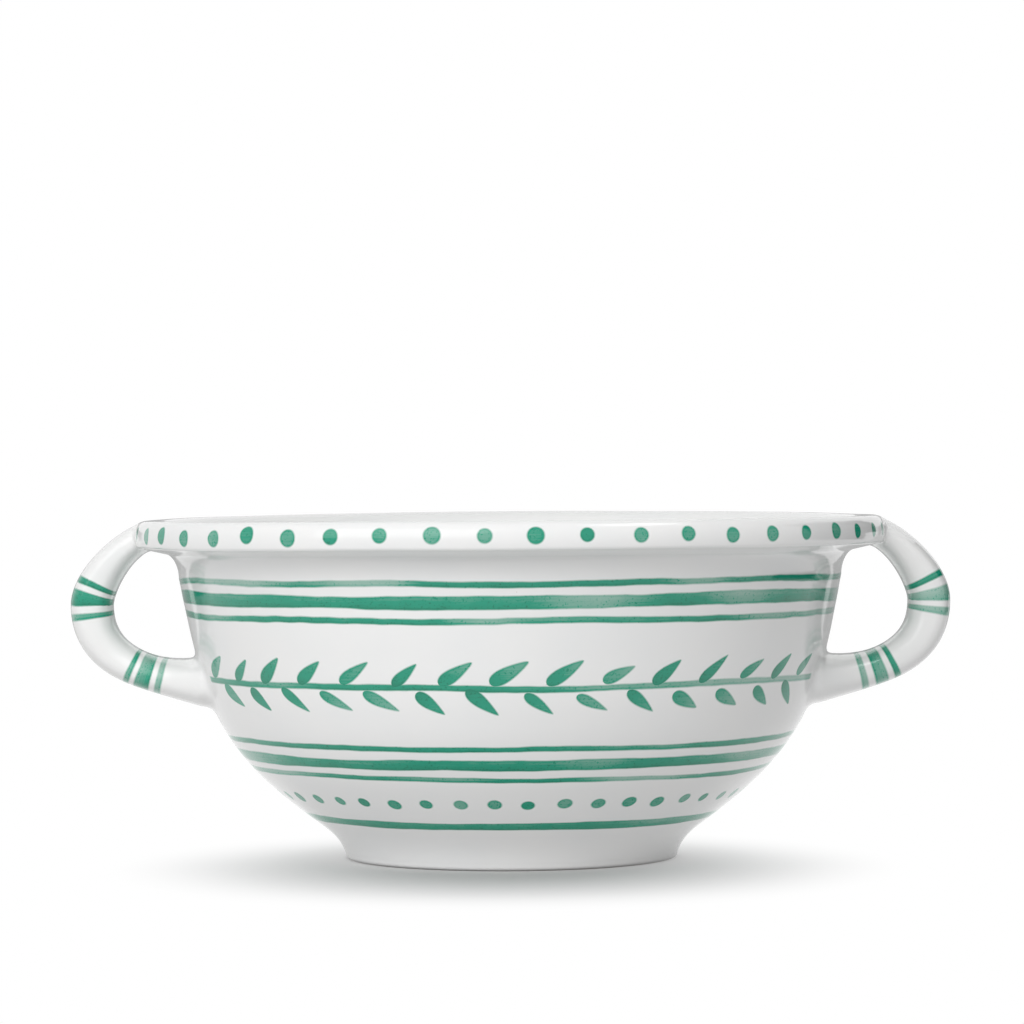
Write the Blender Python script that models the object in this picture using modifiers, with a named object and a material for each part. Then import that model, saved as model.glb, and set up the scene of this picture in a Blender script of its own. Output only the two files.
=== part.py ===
"""Two-handled ceramic salad bowl, modelled as the pieces that a potter makes and lutes together.

A turned bowl with a rolled rim stands on a turned foot ring. Two strap handles run from the rim
to the wall, at +X and -X. A thin layer of slip, which is liquid clay, lies in every joint.
The origin is the middle of the face that the bowl stands on. Lengths are in metres, +Z is up.
"""

import math

import bmesh
import bpy
from mathutils import Vector

# Bowl
BOWL_HEIGHT = 0.1365
RIM_RADIUS = 0.1500
RIM_BAND_HEIGHT = 0.0115
RIM_SHOULDER_RADIUS = 0.0055
RIM_UNDER_RADIUS = 0.0040
RIM_OVERHANG = 0.0163
RIM_COVE_RADIUS = 0.0045
RIM_CROWN_INSET = 0.0070
WALL_THICKNESS = 0.0060
WALL_LEAN = math.radians(10.5)
WALL_LEAD = 0.0616
BELLY_SLOPE = math.radians(36.0)
BELLY_LEAD = 0.0578
FLOOR_THICKNESS = 0.0065
FLOOR_BLEND_HEIGHT = 0.0080

# Foot ring
FOOT_HEIGHT = 0.0104
FOOT_SEAT_RADIUS = 0.0715
FOOT_SEAT_INSET = 0.0013
FOOT_TAPER = 0.0036
FOOT_RING_WIDTH = 0.0110
FOOT_EDGE_RADIUS = 0.0018

# Handles
HANDLE_REACH = 0.0169
HANDLE_GRIP_DROP = 0.0340
HANDLE_ROOT_DROP = 0.0661
HANDLE_RIM_SINK = 0.0010
HANDLE_RIM_EMBED = 0.0040
HANDLE_RIM_SLOPE = math.radians(21.5)
HANDLE_RIM_LEAD = 0.0115
HANDLE_GRIP_UPPER_LEAD = 0.0070
HANDLE_GRIP_LOWER_LEAD = 0.0253
HANDLE_ROOT_SLOPE = math.radians(1.5)
HANDLE_ROOT_LEAD = 0.0260
HANDLE_WALL_EMBED = 0.0075
HANDLE_NECK_DISTANCE = 0.0216
HANDLE_RIM_THICKNESS = 0.0119
HANDLE_GRIP_THICKNESS = 0.0167
HANDLE_NECK_THICKNESS = 0.0142
HANDLE_ROOT_THICKNESS = 0.0194
HANDLE_RIM_WIDTH = 0.0330
HANDLE_GRIP_WIDTH = 0.0270
HANDLE_NECK_WIDTH = 0.0280
HANDLE_ROOT_WIDTH = 0.0600
HANDLE_ROOT_SWELL_RUN = 0.0250
HANDLE_ROOT_SPREAD_RUN = 0.0420
HANDLE_SQUARENESS = 2.4

# Slip joints: slip between two gaps
SLIP_THICKNESS = 0.0008
SLIP_BEAD = 0.0006
JOINT_GAP = 0.0003

# Fineness of the curved surfaces
TURN_STEPS = 64
WALL_STEPS = 14
ROUND_STEPS = 4
LIP_STEPS = 6
HANDLE_SECTIONS_PER_SPAN = 12
HANDLE_SECTION_POINTS = 24
SHARP_EDGE = math.radians(40.0)
MERGE_DISTANCE = 0.00001

# Colours and surface values
WHITE_GLAZE = ((0.86, 0.86, 0.84, 1.0), 0.12)
RAW_SLIP = ((0.80, 0.77, 0.71, 1.0), 0.55)

# Worked out from the dimensions above
WALL_TOP_RADIUS = RIM_RADIUS - RIM_OVERHANG
RIM_UNDERSIDE = BOWL_HEIGHT - RIM_BAND_HEIGHT
RIM_MIDDLE = BOWL_HEIGHT - RIM_BAND_HEIGHT / 2
WALL_TOP = RIM_UNDERSIDE - RIM_COVE_RADIUS
FLOOR_TOP = FOOT_HEIGHT + FLOOR_THICKNESS
JOINT_THICKNESS = SLIP_THICKNESS + 2 * JOINT_GAP
QUARTER_ROUND = 0.5523
STRAP_THICKNESSES = (
    HANDLE_RIM_THICKNESS,
    HANDLE_GRIP_THICKNESS,
    HANDLE_NECK_THICKNESS,
    HANDLE_ROOT_THICKNESS,
)
STRAP_WIDTHS = (HANDLE_RIM_WIDTH, HANDLE_GRIP_WIDTH, HANDLE_NECK_WIDTH, HANDLE_ROOT_WIDTH)


def clear_scene():
    """Remove every object that is already in the file."""
    for old in list(bpy.data.objects):
        bpy.data.objects.remove(old)


def new_collection(name):
    """Return a new collection under the scene."""
    collection = bpy.data.collections.new(name)
    bpy.context.scene.collection.children.link(collection)
    return collection


def new_material(name, finish):
    """Return a plain material from a colour and a roughness."""
    colour, roughness = finish
    material = bpy.data.materials.new(name)
    material.use_nodes = True
    shader = material.node_tree.nodes["Principled BSDF"]
    shader.inputs["Base Color"].default_value = colour
    shader.inputs["Roughness"].default_value = roughness
    shader.inputs["Metallic"].default_value = 0.0
    return material


def bezier(start, lead_out, lead_in, end, count):
    """Return the points of a cubic curve, both ends included."""
    points = []
    for index in range(count + 1):
        t = index / count
        u = 1.0 - t
        points.append(
            start * u**3 + lead_out * (3 * u * u * t) + lead_in * (3 * u * t * t) + end * t**3
        )
    return points


def arc(centre, radius, first_angle, last_angle, count):
    """Return the points of a round arc, with both angles in degrees."""
    points = []
    for index in range(count + 1):
        angle = math.radians(first_angle + (last_angle - first_angle) * index / count)
        points.append(centre + Vector((math.cos(angle), math.sin(angle))) * radius)
    return points


def tangents(points):
    """Return the unit direction of a line of points at each of them."""
    found = []
    for index in range(len(points)):
        before = points[max(index - 1, 0)]
        after = points[min(index + 1, len(points) - 1)]
        found.append((after - before).normalized())
    return found


def offset(points, distance):
    """Return a line of points moved to its left, seen along the line, by a distance."""
    return [
        point + Vector((-along.y, along.x)) * distance
        for point, along in zip(points, tangents(points))
    ]


def wall_outside():
    """Return the outer face of the wall, from under the rim down to the foot seat."""
    top = Vector((WALL_TOP_RADIUS, WALL_TOP))
    seat = Vector((FOOT_SEAT_RADIUS, FOOT_HEIGHT))
    down = Vector((-math.sin(WALL_LEAN), -math.cos(WALL_LEAN)))
    outward = Vector((math.cos(BELLY_SLOPE), math.sin(BELLY_SLOPE)))
    return bezier(top, top + down * WALL_LEAD, seat + outward * BELLY_LEAD, seat, WALL_STEPS)


def rim_outside():
    """Return the rim's outer face, from its crown round the nose and in to the wall."""
    shoulder = Vector((RIM_RADIUS - RIM_SHOULDER_RADIUS, BOWL_HEIGHT - RIM_SHOULDER_RADIUS))
    under = Vector((RIM_RADIUS - RIM_UNDER_RADIUS, RIM_UNDERSIDE + RIM_UNDER_RADIUS))
    cove = Vector((WALL_TOP_RADIUS + RIM_COVE_RADIUS, WALL_TOP))
    return (
        [Vector((RIM_RADIUS - RIM_CROWN_INSET, BOWL_HEIGHT))]
        + arc(shoulder, RIM_SHOULDER_RADIUS, 90.0, 0.0, ROUND_STEPS)
        + arc(under, RIM_UNDER_RADIUS, 0.0, -90.0, ROUND_STEPS)
        + arc(cove, RIM_COVE_RADIUS, 90.0, 180.0, ROUND_STEPS)[:-1]
    )


def bowl_outside():
    """Return the whole outer face, from the rim's crown down to the foot seat."""
    return rim_outside() + wall_outside()


def bowl_inside():
    """Return the inner face, from the middle of the floor up to the rim's crown."""
    wall = offset(wall_outside(), -WALL_THICKNESS)
    wall = [point for point in wall if point.y > FLOOR_TOP + FLOOR_BLEND_HEIGHT]
    along = tangents(wall)[-1]
    corner = wall[-1] + along * ((FLOOR_TOP - wall[-1].y) / along.y)
    run = (corner - wall[-1]).length
    floor_edge = corner - Vector((run, 0.0))
    blend = bezier(
        wall[-1],
        wall[-1].lerp(corner, QUARTER_ROUND),
        floor_edge.lerp(corner, QUARTER_ROUND),
        floor_edge,
        ROUND_STEPS,
    )
    crown = Vector((RIM_RADIUS - RIM_CROWN_INSET, BOWL_HEIGHT))
    upward = -tangents(wall)[0]
    lip = bezier(
        wall[0],
        wall[0] + upward * ((crown.y - wall[0].y) * QUARTER_ROUND),
        crown - Vector(((crown.x - wall[0].x) * QUARTER_ROUND, 0.0)),
        crown,
        LIP_STEPS,
    )
    return [Vector((0.0, FLOOR_TOP))] + blend[::-1] + wall[-2:0:-1] + lip[:-1]


def bowl_profile():
    """Return the bowl's section, up its inside and down its outside."""
    return bowl_inside() + bowl_outside() + [Vector((0.0, FOOT_HEIGHT))]


def foot_profile():
    """Return the closed section of the foot ring, down its outer face first."""
    top = FOOT_HEIGHT - JOINT_THICKNESS
    outer_top = Vector((FOOT_SEAT_RADIUS - FOOT_SEAT_INSET, top))
    base_radius = outer_top.x - FOOT_TAPER
    outer_edge = Vector((base_radius - FOOT_EDGE_RADIUS, FOOT_EDGE_RADIUS))
    inner_radius = base_radius - FOOT_RING_WIDTH
    inner_edge = Vector((inner_radius + FOOT_EDGE_RADIUS, FOOT_EDGE_RADIUS))
    return (
        [outer_top]
        + arc(outer_edge, FOOT_EDGE_RADIUS, 0.0, -90.0, ROUND_STEPS)
        + arc(inner_edge, FOOT_EDGE_RADIUS, -90.0, -180.0, ROUND_STEPS)
        + [Vector((inner_radius, top))]
    )


def foot_slip_profile():
    """Return the closed section of the slip between foot ring and bowl."""
    top = FOOT_HEIGHT - JOINT_GAP
    bottom = top - SLIP_THICKNESS
    outer = FOOT_SEAT_RADIUS - FOOT_SEAT_INSET
    inner = outer - FOOT_TAPER - FOOT_RING_WIDTH
    return [Vector(point) for point in ((outer, top), (outer, bottom), (inner, bottom), (inner, top))]


def standoff_profile(distance):
    """Return a section that fills the bowl and stands off its outer face by a distance."""
    face = offset(bowl_outside(), distance)
    return (
        [Vector((0.0, face[0].y))]
        + face
        + [Vector((0.0, face[-1].y))]
    )


def slip_shell_profile():
    """Return the closed section of the slip layer round the bowl's outer face."""
    outer = offset(bowl_outside(), JOINT_GAP + SLIP_THICKNESS)
    inner = offset(bowl_outside(), JOINT_GAP)
    return outer + inner[::-1]


def turned(name, profile, closed, collection):
    """Return a turned object: a section spun about Z."""
    edges = [(index, index + 1) for index in range(len(profile) - 1)]
    if closed:
        edges.append((len(profile) - 1, 0))
    mesh = bpy.data.meshes.new(name)
    mesh.from_pydata([(point.x, 0.0, point.y) for point in profile], edges, [])
    turned_object = bpy.data.objects.new(name, mesh)
    collection.objects.link(turned_object)
    screw = turned_object.modifiers.new("turn", "SCREW")
    screw.axis = "Z"
    screw.angle = math.tau
    screw.steps = TURN_STEPS
    screw.render_steps = TURN_STEPS
    screw.use_merge_vertices = True
    screw.merge_threshold = MERGE_DISTANCE
    screw.use_smooth_shade = True
    return turned_object


def wall_point_at(height):
    """Return the point of the wall's outer face at a height."""
    wall = wall_outside()
    for upper, lower in zip(wall, wall[1:]):
        if upper.y >= height >= lower.y:
            return upper.lerp(lower, (upper.y - height) / (upper.y - lower.y))
    raise ValueError("the handle's lower end misses the wall")


def handle_midline():
    """Return the handle's middle line in the plane of the bowl's axis, from rim to wall."""
    rim_end = Vector((RIM_RADIUS - HANDLE_RIM_EMBED, RIM_MIDDLE - HANDLE_RIM_SINK))
    grip = Vector((RIM_RADIUS + HANDLE_REACH, BOWL_HEIGHT - HANDLE_GRIP_DROP))
    root = wall_point_at(BOWL_HEIGHT - HANDLE_ROOT_DROP)
    from_rim = Vector((math.cos(HANDLE_RIM_SLOPE), -math.sin(HANDLE_RIM_SLOPE)))
    from_wall = Vector((math.cos(HANDLE_ROOT_SLOPE), math.sin(HANDLE_ROOT_SLOPE)))
    wall_end = root - from_wall * HANDLE_WALL_EMBED
    up = Vector((0.0, 1.0))
    upper_span = bezier(
        rim_end,
        rim_end + from_rim * HANDLE_RIM_LEAD,
        grip + up * HANDLE_GRIP_UPPER_LEAD,
        grip,
        HANDLE_SECTIONS_PER_SPAN,
    )
    lower_span = bezier(
        grip,
        grip - up * HANDLE_GRIP_LOWER_LEAD,
        wall_end + from_wall * HANDLE_ROOT_LEAD,
        wall_end,
        HANDLE_SECTIONS_PER_SPAN,
    )
    return upper_span + lower_span[1:]


def run_lengths(points):
    """Return the distance along a line of points from its start to each of them."""
    lengths = [0.0]
    for before, after in zip(points, points[1:]):
        lengths.append(lengths[-1] + (after - before).length)
    return lengths


def eased(first, last, share):
    """Return a size that eases from a first value to a last one as a share goes from 0 to 1."""
    share = min(max(share, 0.0), 1.0)
    return first + (last - first) * share * share * (3.0 - 2.0 * share)


def strap_size(sizes, run, grip_run, root_run, flare_run):
    """Return one size of the strap at a run, from its values at the rim, grip, neck and root."""
    at_rim, at_grip, at_neck, at_root = sizes
    if run < grip_run:
        return eased(at_rim, at_grip, run / grip_run)
    neck_run = root_run - HANDLE_NECK_DISTANCE
    flare = min(max(1.0 - (root_run - run) / flare_run, 0.0), 1.0)
    strap = eased(at_grip, at_neck, (run - grip_run) / (neck_run - grip_run))
    return strap + (at_root - at_neck) * flare * flare


def rounded_power(value):
    """Return a cosine or sine drawn out towards the corners of a rounded section."""
    return math.copysign(abs(value) ** (2.0 / HANDLE_SQUARENESS), value)


def strap_section(centre, along, thickness, width):
    """Return the points of one rounded strap section, square to the middle line."""
    across = Vector((-along.y, along.x))
    points = []
    for index in range(HANDLE_SECTION_POINTS):
        angle = math.tau * index / HANDLE_SECTION_POINTS
        rise = rounded_power(math.cos(angle)) * thickness / 2
        side = rounded_power(math.sin(angle)) * width / 2
        place = centre + across * rise
        points.append(Vector((place.x, side, place.y)))
    return points


def strap_sections(extra):
    """Return all sections of the strap, from rim to wall, made larger all round by an extra size."""
    midline = handle_midline()
    runs = run_lengths(midline)
    grip_run = runs[HANDLE_SECTIONS_PER_SPAN]
    root_run = runs[-1] - HANDLE_WALL_EMBED
    sections = []
    for centre, along, run in zip(midline, tangents(midline), runs):
        thickness = strap_size(STRAP_THICKNESSES, run, grip_run, root_run, HANDLE_ROOT_SWELL_RUN)
        width = strap_size(STRAP_WIDTHS, run, grip_run, root_run, HANDLE_ROOT_SPREAD_RUN)
        sections.append(strap_section(centre, along, thickness + 2 * extra, width + 2 * extra))
    return sections


def strap_mesh(name, sections):
    """Return the closed mesh of a stretch of strap, lofted through its sections."""
    loft = bmesh.new()
    rings = [[loft.verts.new(point) for point in section] for section in sections]
    for ring, following in zip(rings, rings[1:]):
        for index in range(HANDLE_SECTION_POINTS):
            beside = (index + 1) % HANDLE_SECTION_POINTS
            loft.faces.new((ring[index], ring[beside], following[beside], following[index]))
    loft.faces.new(rings[0])
    loft.faces.new(rings[-1][::-1])
    bmesh.ops.recalc_face_normals(loft, faces=loft.faces)
    mesh = bpy.data.meshes.new(name)
    loft.to_mesh(mesh)
    loft.free()
    mesh.shade_smooth()
    mesh.set_sharp_from_angle(angle=SHARP_EDGE)
    return mesh


def cut(target, operation, tool):
    """Cut an object with, or keep only what it shares with, a hidden tool object."""
    boolean = target.modifiers.new(tool.name, "BOOLEAN")
    boolean.operation = operation
    boolean.object = tool
    boolean.solver = "EXACT"


def hidden_tool(name, profile, closed, collection):
    """Return a turned object that only shapes others."""
    tool = turned(name, profile, closed, collection)
    tool.hide_render = True
    tool.display_type = "WIRE"
    return tool


def placed(name, mesh, turn, collection):
    """Return an object of a mesh, turned about the bowl's axis."""
    placed_object = bpy.data.objects.new(name, mesh)
    placed_object.rotation_euler.z = turn
    collection.objects.link(placed_object)
    return placed_object


def build_bowl(parts):
    """Add the bowl, its foot ring and the slip between them."""
    bowl = turned("bowl_body", bowl_profile(), False, parts)
    foot = turned("foot_ring", foot_profile(), True, parts)
    foot_slip = turned("foot_slip", foot_slip_profile(), True, parts)
    bowl.data.materials.append(new_material("bowl_white_glaze", WHITE_GLAZE))
    foot.data.materials.append(new_material("foot_white_glaze", WHITE_GLAZE))
    foot_slip.data.materials.append(new_material("foot_raw_slip", RAW_SLIP))


def build_handles(parts, tools):
    """Add both handles and the slip at their four ends."""
    clearance = hidden_tool("handle_clearance", standoff_profile(JOINT_THICKNESS), False, tools)
    slip_layer = hidden_tool("slip_layer", slip_shell_profile(), True, tools)
    strap = strap_mesh("strap", strap_sections(0.0))
    beads = strap_sections(SLIP_BEAD)
    rim_pad = strap_mesh("rim_pad", beads[: HANDLE_SECTIONS_PER_SPAN + 1])
    wall_pad = strap_mesh("wall_pad", beads[HANDLE_SECTIONS_PER_SPAN:])
    strap.materials.append(new_material("handle_white_glaze", WHITE_GLAZE))
    slip_material = new_material("handle_raw_slip", RAW_SLIP)
    rim_pad.materials.append(slip_material)
    wall_pad.materials.append(slip_material)
    for side, turn in (("right", 0.0), ("left", math.pi)):
        handle = placed(f"{side}_handle", strap, turn, parts)
        cut(handle, "DIFFERENCE", clearance)
        rim_slip = placed(f"{side}_rim_slip", rim_pad, turn, parts)
        cut(rim_slip, "INTERSECT", slip_layer)
        wall_slip = placed(f"{side}_wall_slip", wall_pad, turn, parts)
        cut(wall_slip, "INTERSECT", slip_layer)


def main():
    clear_scene()
    parts = new_collection("salad_bowl")
    tools = new_collection("cutting_tools")
    build_bowl(parts)
    build_handles(parts, tools)


main()
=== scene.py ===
"""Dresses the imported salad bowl: turned body, foot ring, two strap handles and their slip joints.

Lengths are in metres and angles in radians. +Z is up, the bowl's axis is Z, the handles lie at +X
and -X, and the viewer stands at -Y.
"""

import logging
import math
from abc import ABC, abstractmethod
from collections.abc import Callable, Sequence
from dataclasses import dataclass, field
from enum import Enum
from functools import cached_property, partial
from itertools import accumulate

import bpy
from mathutils import Matrix, Vector, noise


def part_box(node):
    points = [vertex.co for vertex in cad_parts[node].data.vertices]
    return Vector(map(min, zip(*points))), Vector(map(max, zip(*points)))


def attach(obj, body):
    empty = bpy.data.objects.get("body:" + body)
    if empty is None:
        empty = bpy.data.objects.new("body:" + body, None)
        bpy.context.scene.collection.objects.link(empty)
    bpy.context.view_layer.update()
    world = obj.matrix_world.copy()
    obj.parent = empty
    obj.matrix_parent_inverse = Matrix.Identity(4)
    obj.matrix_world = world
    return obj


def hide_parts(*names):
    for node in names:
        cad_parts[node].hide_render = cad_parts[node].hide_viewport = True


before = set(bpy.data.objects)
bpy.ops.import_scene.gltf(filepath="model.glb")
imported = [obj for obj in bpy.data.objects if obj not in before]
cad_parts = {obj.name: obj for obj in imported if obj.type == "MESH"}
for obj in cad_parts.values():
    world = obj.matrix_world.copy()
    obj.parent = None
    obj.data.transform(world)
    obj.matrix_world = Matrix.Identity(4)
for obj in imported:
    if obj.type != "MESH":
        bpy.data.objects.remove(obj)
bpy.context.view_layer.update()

BODY = "root"
RUN_ATTRIBUTE = "run"
WOBBLE_SEED = 5
LOG = logging.getLogger("salad_bowl")

Section = list[Vector]
Span = tuple[float, float]
Triple = tuple[float, float, float]


class Side(Enum):
    """The side of the bowl that a handle is on, as a turn about the bowl's axis."""

    RIGHT = 0.0
    LEFT = math.pi

    @property
    def label(self) -> str:
        """Return the side's name as it stands in piece names."""
        return self.name.lower()


class Face(Enum):
    """A face of the bowl's wall."""

    INSIDE = "inside"
    OUTSIDE = "outside"


class Slot(Enum):
    """The record's material slots."""

    WHITE_GLAZE = "white_glaze"
    FOOT_GLAZE = "foot_glaze"
    RAW_SLIP = "raw_slip"


class Reach(Enum):
    """What a studio lamp lights, as the floor's place in its light link."""

    BOWL = "EXCLUDE"
    FLOOR = "INCLUDE"


class Stroke(Enum):
    """A brush, as the width of the line that it leaves."""

    FINE = 0.0024
    BROAD = 0.0050


class Seed(Enum):
    """What a random field is for, as the number that gives it a pattern of its own."""

    SWAY = 0.0
    CLOUD = 1.0
    PEEL = 2.0
    SWELL = 3.0
    STREAK = 4.0
    FLECK = 5.0
    MOTTLE = 6.0
    TREMBLE = 7.0
    WIPE = 8.0
    GRIT = 9.0
    LOAD = 11.0


def heading(angle: float) -> Vector:
    """Return the unit vector at an angle from the first axis of a section's plane."""
    return Vector((math.cos(angle), math.sin(angle)))


def bezier(start: Vector, lead_out: Vector, lead_in: Vector, end: Vector, count: int) -> Section:
    """Return the points of a cubic curve, both ends included.

    Args:
        start: First point.
        lead_out: Step from the start to the control point that the curve leaves towards.
        lead_in: Step from the end to the control point that the curve arrives from.
        end: Last point.
        count: Number of steps.

    Returns:
        count + 1 points.
    """
    leaving, arriving = start + lead_out, end + lead_in
    points = []
    for index in range(count + 1):
        t = index / count
        u = 1.0 - t
        points.append(
            start * u**3 + leaving * (3 * u * u * t) + arriving * (3 * u * t * t) + end * t**3
        )
    return points


def arc(centre: Vector, radius: float, first: float, last: float, count: int) -> Section:
    """Return count + 1 points of a round arc from a first angle to a last one."""
    angles = [first + (last - first) * index / count for index in range(count + 1)]
    return [centre + heading(angle) * radius for angle in angles]


def run_lengths(points: Sequence[Vector]) -> list[float]:
    """Return the distance along a line of points from its start to each of them."""
    steps = ((after - before).length for before, after in zip(points, points[1:]))
    return list(accumulate(steps, initial=0.0))


def directions(points: Sequence[Vector]) -> list[Vector]:
    """Return the unit direction of a line of points at each of them."""
    neighbours = zip([points[0], *points[:-1]], [*points[1:], points[-1]])
    return [(after - before).normalized() for before, after in neighbours]


def beside(points: Section, distance: Callable[[float], float]) -> Section:
    """Return a line of points moved to its left, by a distance that depends on the run."""
    stations = zip(points, directions(points), run_lengths(points))
    return [point + Vector((-along.y, along.x)) * distance(run) for point, along, run in stations]


def eased(first: float, last: float, share: float) -> float:
    """Return a value that eases from a first one at share 0 to a last one at share 1."""
    share = min(max(share, 0.0), 1.0)
    return first + (last - first) * share * share * (3.0 - 2.0 * share)


def signed_power(value: float, power: float) -> float:
    """Return a power of a value's size, with the value's sign."""
    return math.copysign(abs(value) ** power, value)


def started(name: str, primitive: Callable[..., set[str]], **sizes: object) -> bpy.types.Object:
    """Add a primitive as the only thing that is selected.

    Args:
        name: Name of the object and of its mesh.
        primitive: The operator that adds it.
        sizes: The operator's sizes and place.

    Returns:
        The new object.
    """
    bpy.ops.object.select_all(action="DESELECT")
    primitive(**sizes)
    made = bpy.context.object
    made.name = name
    made.data.name = name
    return made


@dataclass(frozen=True)
class HandWobble:
    """The slight unevenness that hands leave in clay, one field for all pieces."""

    height: float
    reach: float
    size: float = 0.00030
    grain: float = 0.055
    foot_clear: float = 0.012
    droop: float = 0.0009
    lean: float = math.radians(0.15)

    @classmethod
    def from_frame(cls) -> "HandWobble":
        """Take the bowl's height and reach from its CAD node's box."""
        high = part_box("bowl_body")[1]
        return cls(high.z, high.x)

    def at(self, place: Vector) -> Vector:
        """Return where a point of the true shape lies on the hand-made one.

        Args:
            place: A point of the true shape.

        Returns:
            The point, moved. The standing face stays flat.
        """
        share = eased(0.0, 1.0, place.z / self.foot_clear)
        moved = place + noise.noise_vector(place / self.grain) * (self.size * share)
        sag = self.lean * place.x - self.droop * (place.x / self.reach) ** 2
        return moved + Vector((0.0, 0.0, sag * (place.z / self.height) ** 2))


@dataclass
class StrapGrid:
    """Rings of points along a strap, with the outward normal and the run at each."""

    rows: list[Section]
    normals: list[Section]
    runs: list[list[float]]

    def part(self, first: int, last: int) -> "StrapGrid":
        """Return the rings from a first to a last one, both included."""
        chosen = slice(first, last + 1)
        return StrapGrid(self.rows[chosen], self.normals[chosen], self.runs[chosen])


@dataclass(frozen=True)
class Potter:
    """Makes meshes from primitives with the modelling operators."""

    wobble: HandWobble
    start_size: float = 0.01
    merge: float = 0.000002
    sharp: float = math.radians(50.0)
    tolerance: float = 0.00001

    POINTS = (True, False, False)
    EDGES = (False, True, False)

    def throw(self, name: str, section: Section, steps: int, ring: bool) -> bpy.types.Object:
        """Turn a section about the bowl's axis, as on a wheel.

        Args:
            name: Name of the piece.
            section: Points as (radius, height).
            steps: Number of steps in the full turn.
            ring: True if the section closes on itself, away from the axis.

        Returns:
            The turned piece, with the run along the section as an attribute.
        """
        bpy.context.tool_settings.mesh_select_mode = self.POINTS
        piece = started(name, bpy.ops.mesh.primitive_plane_add, size=self.start_size)
        bpy.ops.object.mode_set(mode="EDIT")
        bpy.ops.mesh.merge(type="CENTER")
        path = section + section[:1] if ring else section
        bpy.ops.transform.translate(value=(path[0].x, 0.0, path[0].y))
        for place, following in zip(path, path[1:]):
            step = following - place
            bpy.ops.mesh.extrude_region_move(TRANSFORM_OT_translate={"value": (step.x, 0.0, step.y)})
        bpy.ops.mesh.select_all(action="SELECT")
        bpy.ops.mesh.spin(steps=steps, angle=math.tau, center=(0, 0, 0), axis=(0, 0, 1))
        bpy.ops.mesh.select_all(action="SELECT")
        bpy.ops.mesh.remove_doubles(threshold=self.merge)
        bpy.ops.mesh.normals_make_consistent(inside=False)
        bpy.ops.object.mode_set(mode="OBJECT")
        self._mark_runs(piece, section)
        bpy.ops.object.shade_smooth_by_angle(angle=self.sharp)
        return piece

    def _mark_runs(self, piece: bpy.types.Object, section: Section) -> None:
        """Store on each point of a turned piece its run along the section, and make it uneven.

        Args:
            piece: The turned piece.
            section: The section that it was turned from.
        """
        keys = {self._key(*point): run for point, run in zip(section, run_lengths(section))}
        marks = piece.data.attributes.new(RUN_ATTRIBUTE, "FLOAT", "POINT")
        for vertex in piece.data.vertices:
            radius = math.hypot(vertex.co.x, vertex.co.y)
            marks.data[vertex.index].value = self._nearest(keys, radius, vertex.co.z)
            vertex.co = self.wobble.at(vertex.co)

    def _key(self, radius: float, height: float) -> tuple[int, int]:
        """Return a point's place in whole tolerances."""
        return (round(radius / self.tolerance), round(height / self.tolerance))

    def _nearest(self, keys: dict[tuple[int, int], float], radius: float, height: float) -> float:
        """Return the run of the section point at a radius and height.

        Args:
            keys: Runs by rounded place.
            radius: Distance from the axis.
            height: Height.

        Returns:
            The run, from a neighbouring place where rounding fell the other way.
        """
        middle = self._key(radius, height)
        for across in (0, -1, 1):
            for up in (0, -1, 1):
                found = keys.get((middle[0] + across, middle[1] + up))
                if found is not None:
                    return found
        raise ValueError(f"no section point at {radius:.5f}, {height:.5f}")

    def pull(self, name: str, grid: StrapGrid) -> bpy.types.Object:
        """Shape a closed tube through rows of points, as a strap is pulled.

        Args:
            name: Name of the piece.
            grid: Its rings of points, with their normals and runs.

        Returns:
            The tube, closed at both ends, with its run as an attribute.
        """
        levels = len(grid.rows) - 1
        columns = len(grid.rows[0])
        cylinder = bpy.ops.mesh.primitive_cylinder_add
        middle = (0.0, 0.0, levels / 2)
        piece = started(name, cylinder, vertices=columns, radius=1.0, depth=levels, location=middle)
        bpy.ops.object.transform_apply(location=True, rotation=False, scale=False)
        self._divide_upright_edges(piece, levels - 1)
        marks = piece.data.attributes.new(RUN_ATTRIBUTE, "FLOAT", "POINT")
        normals = []
        for vertex in piece.data.vertices:
            level = round(vertex.co.z)
            column = round(math.atan2(vertex.co.y, vertex.co.x) / math.tau * columns) % columns
            vertex.co = grid.rows[level][column]
            marks.data[vertex.index].value = grid.runs[level][column]
            normals.append(grid.normals[level][column])
        bpy.ops.object.mode_set(mode="EDIT")
        bpy.ops.mesh.select_all(action="SELECT")
        bpy.ops.mesh.normals_make_consistent(inside=False)
        bpy.ops.object.mode_set(mode="OBJECT")
        bpy.ops.object.shade_smooth()
        piece.data.normals_split_custom_set_from_vertices(normals)
        return piece

    def _divide_upright_edges(self, piece: bpy.types.Object, cuts: int) -> None:
        """Divide the edges along a new cylinder's side into equal lengths.

        Args:
            piece: The cylinder.
            cuts: Number of cuts in each edge.
        """
        mesh = piece.data
        for part in (*mesh.vertices, *mesh.polygons):
            part.select = False
        for edge in mesh.edges:
            low, high = (round(mesh.vertices[index].co.z) for index in edge.vertices)
            edge.select = low != high
        bpy.context.tool_settings.mesh_select_mode = self.EDGES
        bpy.ops.object.mode_set(mode="EDIT")
        bpy.ops.mesh.subdivide(number_cuts=cuts)
        bpy.ops.object.mode_set(mode="OBJECT")


def math_method(operation: str, reflected: bool = False) -> Callable[..., "Signal"]:
    """Return a method of Signal that adds a Math node.

    Args:
        operation: The Math node's operation.
        reflected: True where the other value stands first.

    Returns:
        The method.
    """

    def worked_out(signal: "Signal", *others: "Value") -> "Signal":
        """Return the Math node's result."""
        values = (*others, signal) if reflected else (signal, *others)
        return signal.bench.math(operation, *values)

    return worked_out


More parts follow.
